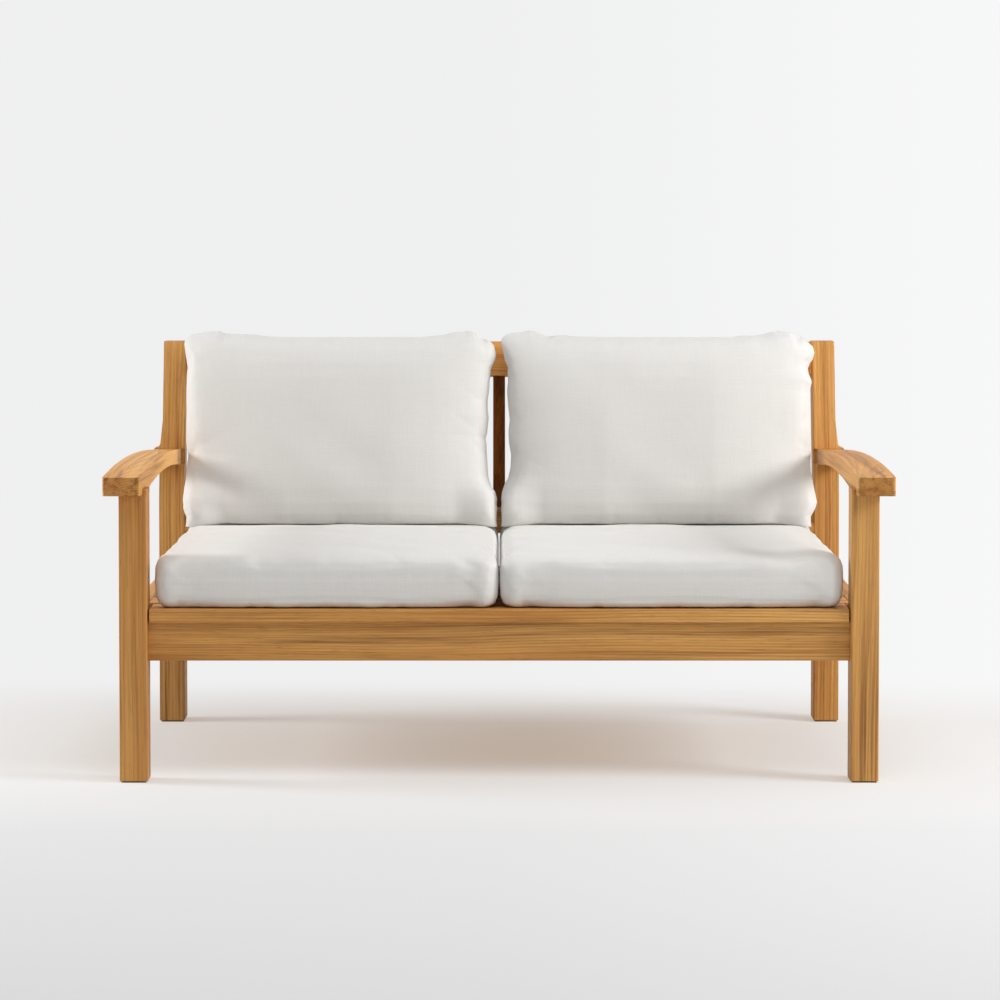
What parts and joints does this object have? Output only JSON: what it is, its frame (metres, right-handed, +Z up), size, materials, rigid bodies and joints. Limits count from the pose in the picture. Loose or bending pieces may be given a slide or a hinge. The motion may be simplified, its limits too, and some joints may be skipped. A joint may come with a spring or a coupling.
{
  "type": "patio loveseat",
  "caption": "Slatted hardwood patio loveseat with raked back, curved flat arms, and loose box seat cushions and knife-edge back cushions that lift off.",
  "frame": {"origin": "on the floor, in the middle of the footprint of the whole loveseat", "axes": "+X along the seat, -Y the way the sitter faces, +Z up"},
  "size_m": [1.41, 0.745, 0.7854],
  "materials": {
    "hardwood": "oiled hardwood, honey brown, straight grain",
    "dowel_wood": "plain turned hardwood",
    "hardware_steel": "zinc plated",
    "glide_plastic": "matt dark nylon",
    "canvas": "off-white slub canvas",
    "foam": "open-cell cushion foam"
  },
  "bodies": {
    "frame": {"front_leg_left": "hardwood", "front_leg_right": "hardwood", "back_post_left": "hardwood", "back_post_right": "hardwood", "armrest_left": "hardwood", "armrest_right": "hardwood", "front_apron": "hardwood", "rear_seat_rail": "hardwood", "side_rail_left": "hardwood", "side_rail_right": "hardwood", "slat_cleat_left": "hardwood", "slat_cleat_right": "hardwood", "centre_bearer": "hardwood", "top_rail": "hardwood", "lower_back_rail": "hardwood", "corner_blocks": "hardwood", "seat_slat_1": "hardwood", "seat_slat_2": "hardwood", "seat_slat_3": "hardwood", "seat_slat_4": "hardwood", "seat_slat_5": "hardwood", "seat_slat_6": "hardwood", "seat_slat_7": "hardwood", "back_slat_1": "hardwood", "back_slat_2": "hardwood", "back_slat_3": "hardwood", "back_slat_4": "hardwood", "back_slat_5": "hardwood", "back_slat_6": "hardwood", "back_slat_7": "hardwood", "back_slat_8": "hardwood", "back_slat_9": "hardwood", "back_slat_10": "hardwood", "back_slat_11": "hardwood", "dowels": "dowel_wood", "arm_plugs": "dowel_wood", "frame_bolts": "hardware_steel", "bolt_washers": "hardware_steel", "barrel_nuts": "hardware_steel", "slat_screws": "hardware_steel", "frame_screws": "hardware_steel", "arm_screws": "hardware_steel", "foot_glides": "glide_plastic"},
    "seat_cushion_left": {"seat_cushion_cover_left": "canvas", "seat_cushion_core_left": "foam"},
    "seat_cushion_right": {"seat_cushion_cover_right": "canvas", "seat_cushion_core_right": "foam"},
    "back_cushion_left": {"back_cushion_cover_left": "canvas", "back_cushion_core_left": "foam"},
    "back_cushion_right": {"back_cushion_cover_right": "canvas", "back_cushion_core_right": "foam"}
  },
  "joints": [
    {"name": "seat_cushion_left_lift", "type": "slide", "parent": "frame", "child": "seat_cushion_left", "axis": [0, 0, 1], "range_m": [0, 0.45]},
    {"name": "back_cushion_left_lift", "type": "slide", "parent": "seat_cushion_left", "child": "back_cushion_left", "axis": [0, 0, 1], "range_m": [0, 0.4]},
    {"name": "seat_cushion_right_lift", "type": "slide", "parent": "frame", "child": "seat_cushion_right", "axis": [0, 0, 1], "range_m": [0, 0.45]},
    {"name": "back_cushion_right_lift", "type": "slide", "parent": "seat_cushion_right", "child": "back_cushion_right", "axis": [0, 0, 1], "range_m": [0, 0.4]}
  ]
}
